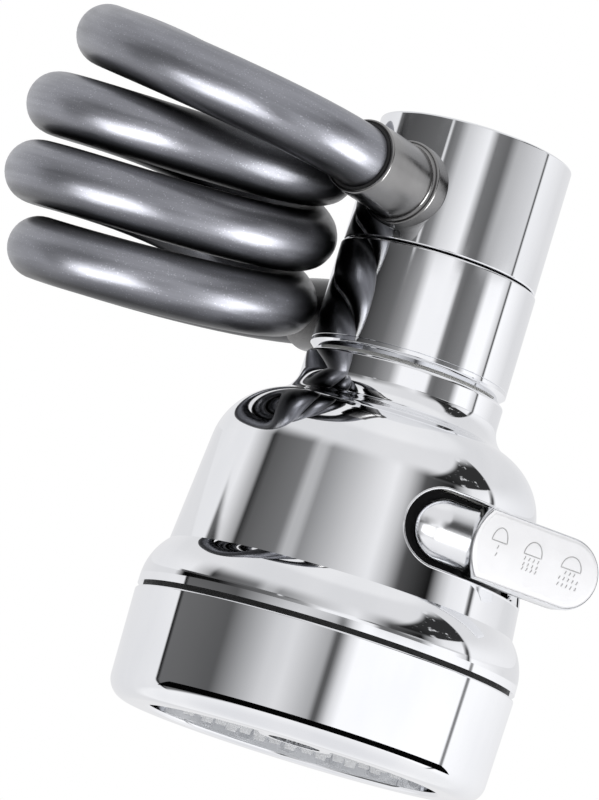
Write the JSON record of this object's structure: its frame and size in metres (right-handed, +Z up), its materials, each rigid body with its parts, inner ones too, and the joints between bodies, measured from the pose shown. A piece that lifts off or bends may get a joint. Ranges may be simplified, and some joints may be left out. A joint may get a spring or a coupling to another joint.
{
  "type": "faucet pull-out sprayer",
  "caption": "Faucet-mounted bath sprayer: a threaded adapter, a coiled hose and a docked, bell-shaped handset with a side lever that picks the spray.",
  "frame": {"origin": "centre of the faucet thread's mouth, at the top of the adapter", "axes": "+Z up along the thread's axis, towards the faucet; -Y towards the side where the lever's slot starts; +X towards the lever's tip"},
  "size_m": [0.0976, 0.0713, 0.0982],
  "materials": {
    "chrome_shell": "polished chrome plating",
    "chrome_lever": "polished chrome plating with a satin pad",
    "chrome_face": "polished chrome plating",
    "gunmetal": "satin dark metal",
    "hose": "satin graphite-grey tube",
    "brass": "turned brass",
    "steel": "plain steel",
    "mesh": "fine steel mesh",
    "magnet": "plated magnet",
    "seal": "matt black rubber",
    "body_plastic": "off-white moulded plastic",
    "dark_plastic": "black moulded plastic",
    "nozzle": "soft grey silicone"
  },
  "bodies": {
    "adapter": {"adapter_shell": "chrome_shell", "faucet_thread_insert": "brass", "faucet_washer": "seal", "inlet_screen": "mesh", "adapter_core": "body_plastic", "dock_magnet": "magnet", "upper_hose_socket": "gunmetal", "upper_port_o_ring": "seal", "upper_hose_ferrule": "brass", "upper_hose_seal": "seal", "coiled_hose": "hose"},
    "handset": {"neck_sleeve": "chrome_shell", "neck_collar": "chrome_shell", "dock_plate": "steel", "dock_spigot": "body_plastic", "neck_core": "body_plastic", "neck_o_ring": "seal", "lower_hose_socket": "gunmetal", "lower_port_o_ring": "seal", "lower_hose_ferrule": "brass", "lower_hose_seal": "seal", "bell_housing": "chrome_shell", "valve_body": "body_plastic", "detent_spring": "steel", "detent_ball": "steel", "selector_pivot": "brass", "selector_seals": "seal", "distributor_plate": "body_plastic", "spray_chamber": "body_plastic", "face_gasket": "seal", "face_ring": "chrome_shell", "spray_face": "chrome_face", "spray_nozzles": "nozzle", "aerator_insert": "chrome_face", "aerator_screen": "mesh"},
    "selector": {"selector_carrier": "dark_plastic", "mode_lever": "chrome_lever"}
  },
  "joints": [
    {"name": "handset_pull", "type": "slide", "parent": "adapter", "child": "handset", "axis": [0, 0, -1], "range_m": [0, 0.02], "deforming": ["coiled_hose"]},
    {"name": "mode_select", "type": "hinge", "parent": "handset", "child": "selector", "pos_m": [0, 0, -0.0575], "axis": [0, 0, 1], "range_deg": [0, 30]}
  ]
}
